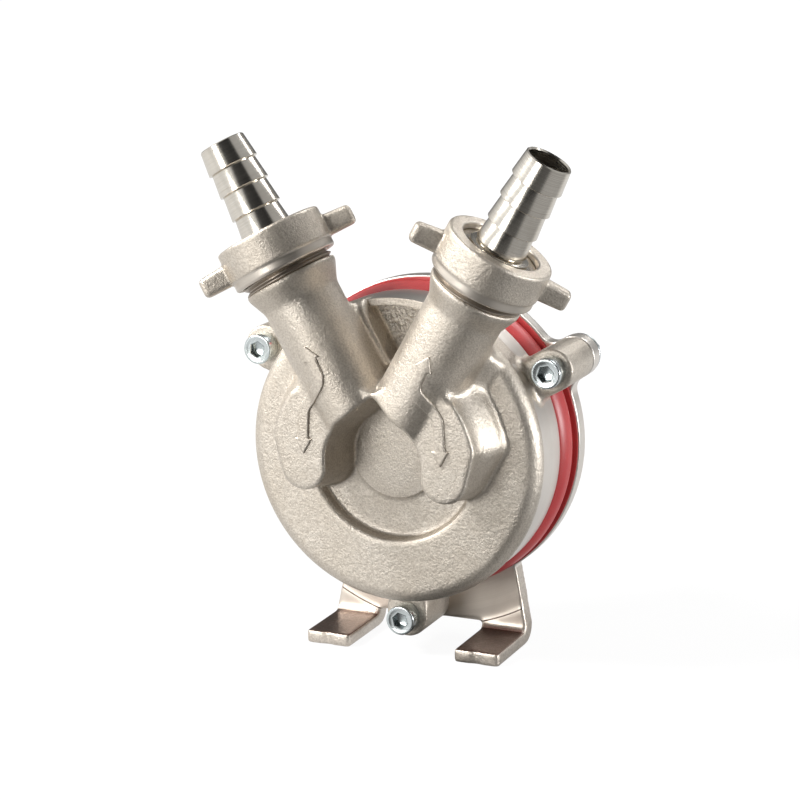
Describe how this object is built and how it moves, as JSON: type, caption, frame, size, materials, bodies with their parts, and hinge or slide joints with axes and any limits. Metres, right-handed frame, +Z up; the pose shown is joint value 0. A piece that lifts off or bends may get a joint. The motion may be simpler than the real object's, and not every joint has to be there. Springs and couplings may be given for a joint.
{
  "type": "transfer pump",
  "caption": "Self-priming side-channel transfer pump with two leaning branches, wing union nuts, serrated hose tails, a turned bearing cover on two feet and a red seal ring.",
  "frame": {"origin": "under the middle of the pump, on the plane of the feet's soles", "axes": "+Z up, +Y along the drive shaft and out of its free end, so the ported front faces -Y"},
  "size_m": [0.1074, 0.1064, 0.1484],
  "materials": {
    "cast_nickel": "satin",
    "turned_nickel": "satin",
    "nut_nickel": "satin",
    "tail_nickel": "polished",
    "red_silicone": "satin",
    "zinc": "bright zinc",
    "bronze": "turned",
    "brass": "machined",
    "steel": "ground",
    "spring_steel": "oiled",
    "stainless": "ground",
    "black_rubber": "matte",
    "fibre": "matte",
    "bearing_steel": "ground",
    "ball_steel": "polished",
    "cage_plastic": "matte",
    "shield_steel": "stamped"
  },
  "bodies": {
    "housing": {"front_casting": "cast_nickel", "rear_cover": "turned_nickel", "seal_ring": "red_silicone", "cover_screws": "zinc", "cover_nuts": "zinc", "front_bush": "bronze", "shaft_seal": "black_rubber", "seal_spring": "spring_steel", "front_bearing_outer": "bearing_steel", "rear_bearing_outer": "bearing_steel", "front_bearing_shields": "shield_steel", "rear_bearing_shields": "shield_steel", "bearing_spacer": "steel", "neck_circlip": "spring_steel"},
    "rotor": {"drive_shaft": "stainless", "impeller": "brass", "impeller_key": "steel", "impeller_circlip": "spring_steel", "water_slinger": "black_rubber", "front_bearing_inner": "bearing_steel", "rear_bearing_inner": "bearing_steel", "shaft_circlip": "spring_steel"},
    "front_ball_set": {"front_bearing_balls": "ball_steel", "front_bearing_cage": "cage_plastic"},
    "rear_ball_set": {"rear_bearing_balls": "ball_steel", "rear_bearing_cage": "cage_plastic"},
    "left_tail": {"left_hose_tail": "tail_nickel", "left_tail_gasket": "fibre"},
    "right_tail": {"right_hose_tail": "tail_nickel", "right_tail_gasket": "fibre"},
    "left_nut": {"left_union_nut": "nut_nickel"},
    "right_nut": {"right_union_nut": "nut_nickel"}
  },
  "joints": [
    {"name": "shaft_spin", "type": "hinge", "parent": "housing", "child": "rotor", "pos_m": [0, 0.02523, 0.0604], "axis": [0, 1, 0], "continuous": true},
    {"name": "front_ball_orbit", "type": "hinge", "parent": "housing", "child": "front_ball_set", "pos_m": [0, 0.00873, 0.0604], "axis": [0, 1, 0], "continuous": true},
    {"name": "rear_ball_orbit", "type": "hinge", "parent": "housing", "child": "rear_ball_set", "pos_m": [0, 0.01972, 0.0604], "axis": [0, 1, 0], "continuous": true},
    {"name": "left_nut_turn", "type": "hinge", "parent": "left_tail", "child": "left_nut", "pos_m": [-0.03152, -0.03787, 0.1161], "axis": [-0.4924, 0, 0.8704], "range_deg": [0, 1800]},
    {"name": "left_tail_lift", "type": "slide", "parent": "housing", "child": "left_tail", "axis": [-0.4924, 0, 0.8704], "range_m": [0, 0.0091]},
    {"name": "right_nut_turn", "type": "hinge", "parent": "right_tail", "child": "right_nut", "pos_m": [0.03152, -0.03787, 0.1161], "axis": [0.4924, 0, 0.8704], "range_deg": [0, 1800]},
    {"name": "right_tail_lift", "type": "slide", "parent": "housing", "child": "right_tail", "axis": [0.4924, 0, 0.8704], "range_m": [0, 0.0091]}
  ],
  "couplings": [
    {"joint": "front_ball_orbit", "follows": "shaft_spin", "ratio": 0.3709},
    {"joint": "rear_ball_orbit", "follows": "shaft_spin", "ratio": 0.3709},
    {"joint": "left_tail_lift", "follows": "left_nut_turn", "m_per_rad": 0.00028871},
    {"joint": "right_tail_lift", "follows": "right_nut_turn", "m_per_rad": 0.00028871}
  ]
}
